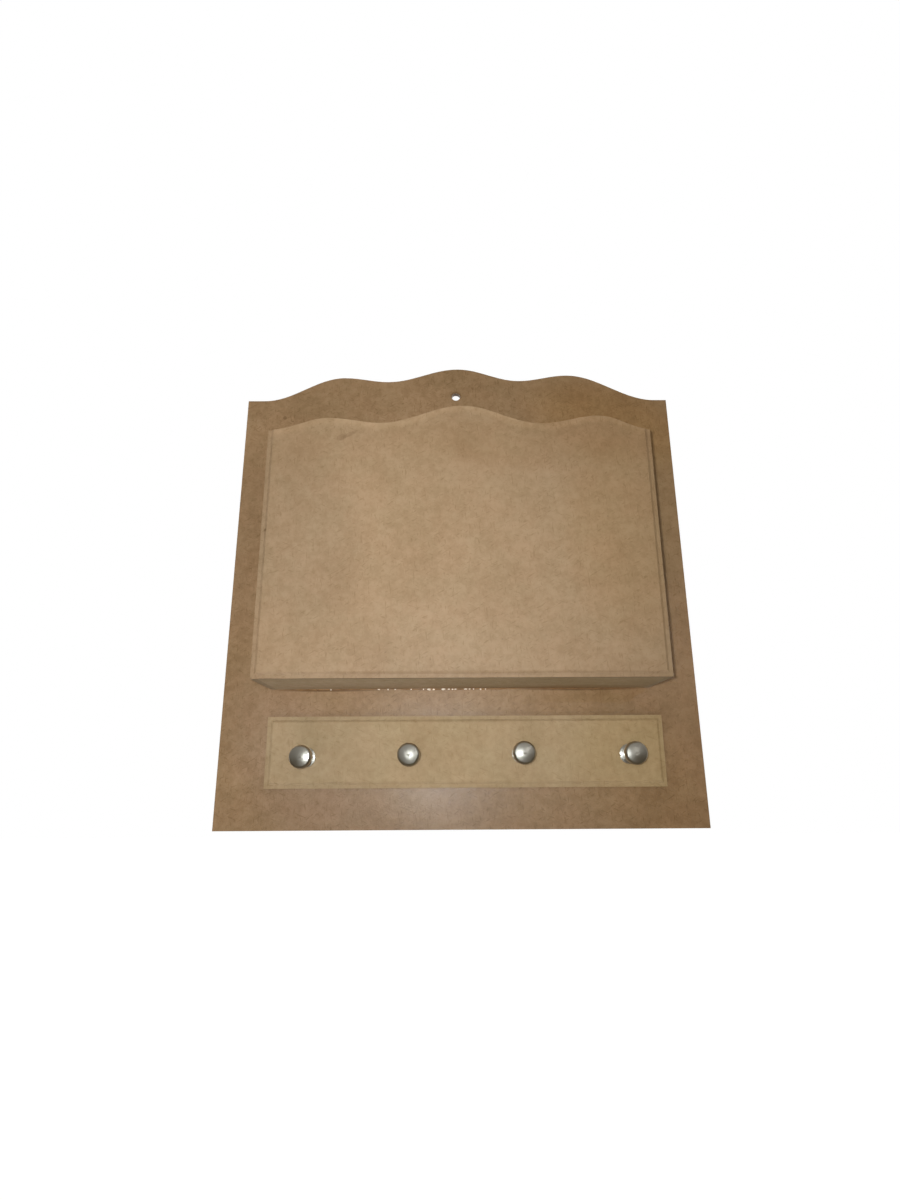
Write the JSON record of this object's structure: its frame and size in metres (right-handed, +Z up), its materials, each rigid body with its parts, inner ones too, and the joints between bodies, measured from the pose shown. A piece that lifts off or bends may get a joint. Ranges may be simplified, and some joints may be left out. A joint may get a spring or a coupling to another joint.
{
  "type": "wall key holder",
  "caption": "Raw fibreboard wall rack with a wavy back board, a letter pocket in front and polished mushroom knobs for keys below it, hung from a round hole.",
  "frame": {"origin": "centre of the hanging hole on the face that lies against the wall", "axes": "+Z up the board, +X to the right seen from the room, -Y from the wall into the room"},
  "size_m": [0.25, 0.043, 0.2647],
  "materials": {
    "board_fibreboard": "raw, smooth pressed face, slightly glossy",
    "panel_fibreboard": "raw, matt",
    "box_fibreboard": "raw, matt",
    "plaque_fibreboard": "raw, matt",
    "knob_metal": "polished nickel plate",
    "screw_metal": "zinc plated"
  },
  "bodies": {
    "root": {"back_board": "board_fibreboard", "front_panel": "panel_fibreboard", "box_bottom": "box_fibreboard", "box_side_left": "box_fibreboard", "box_side_right": "box_fibreboard", "key_plaque": "plaque_fibreboard", "knobs": "knob_metal", "knob_screws": "screw_metal"}
  },
  "joints": []
}
